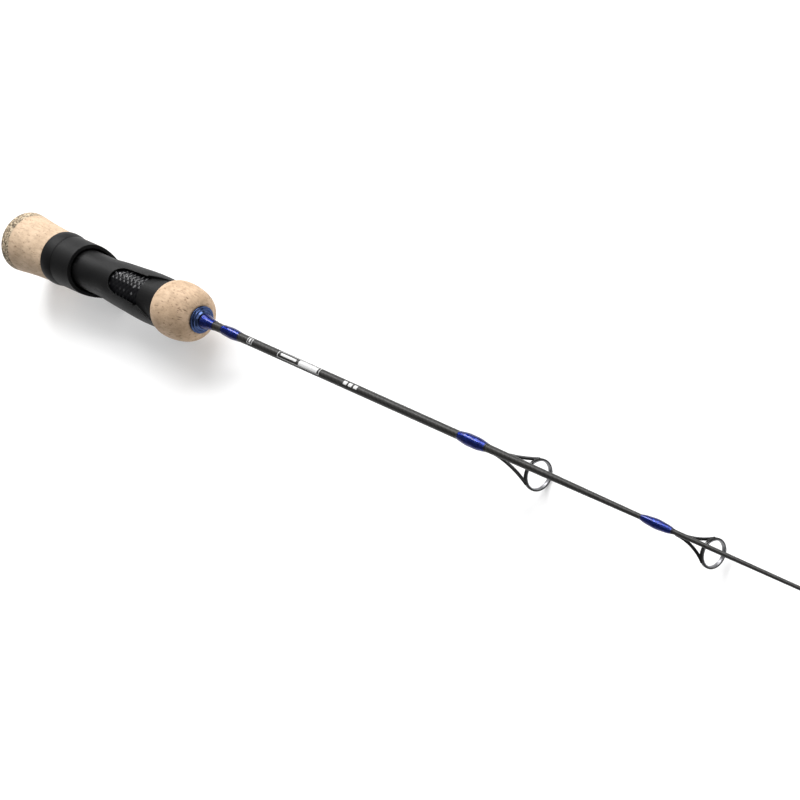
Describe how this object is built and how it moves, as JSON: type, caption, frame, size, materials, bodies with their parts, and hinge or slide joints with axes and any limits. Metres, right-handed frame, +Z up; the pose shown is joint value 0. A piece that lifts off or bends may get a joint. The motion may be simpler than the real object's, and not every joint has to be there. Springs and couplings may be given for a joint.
{
  "type": "ice fishing rod",
  "caption": "Short ice fishing rod: solid dark blank, cork grips, black reel seat with window, sliding hood and lock nut, blue-wrapped ring guides and a tip top.",
  "frame": {"origin": "centre of the butt face, on the rod's axis", "axes": "+X along the rod towards the tip, +Z up, away from the reel and the line guides"},
  "size_m": [0.712, 0.0313, 0.0372],
  "materials": {
    "graphite_blank": "clear-coated graphite with a faint slanting fibre pattern",
    "carbon_weave": "woven carbon under clear resin",
    "soft_touch": "matt soft-touch coating",
    "cork": "sanded natural cork",
    "burl_cork": "sanded composite burl cork",
    "arbor_foam": "cut rigid foam",
    "check_metal": "turned and anodised pale blue",
    "thread_wrap": "metallic blue thread under clear epoxy",
    "guide_frame": "gloss black",
    "ring_insert": "polished dark grey",
    "keeper_wire": "gloss black"
  },
  "bodies": {
    "root": {"rod_blank": "graphite_blank", "butt_ring": "burl_cork", "rear_cork_ring_1": "cork", "rear_cork_ring_2": "cork", "rear_cork_ring_3": "cork", "fore_cork_ring_1": "cork", "fore_cork_ring_2": "cork", "reel_seat": "soft_touch", "carbon_sleeve": "carbon_weave", "rear_arbor": "arbor_foam", "front_arbor": "arbor_foam", "winding_check": "check_metal", "butt_wrap": "thread_wrap", "hook_keeper": "keeper_wire", "keeper_wrap": "thread_wrap", "guide_1_frame": "guide_frame", "guide_1_ring": "ring_insert", "guide_1_wrap": "thread_wrap", "guide_2_frame": "guide_frame", "guide_2_ring": "ring_insert", "guide_2_wrap": "thread_wrap", "guide_3_frame": "guide_frame", "guide_3_ring": "ring_insert", "guide_3_wrap": "thread_wrap", "guide_4_frame": "guide_frame", "guide_4_ring": "ring_insert", "guide_4_wrap": "thread_wrap", "tip_top_frame": "guide_frame", "tip_top_ring": "ring_insert", "tip_wrap": "thread_wrap"},
    "hood": {"sliding_hood": "soft_touch"},
    "nut": {"lock_nut": "soft_touch"}
  },
  "joints": [
    {"name": "hood_slide", "type": "slide", "parent": "root", "child": "hood", "axis": [1, 0, 0], "range_m": [0, 0.012]},
    {"name": "nut_spin", "type": "hinge", "parent": "hood", "child": "nut", "pos_m": [0.0405, 0, 0], "axis": [1, 0, 0], "range_deg": [0, 1728]}
  ],
  "couplings": [
    {"joint": "nut_spin", "follows": "hood_slide", "rad_per_m": 2513.3}
  ]
}
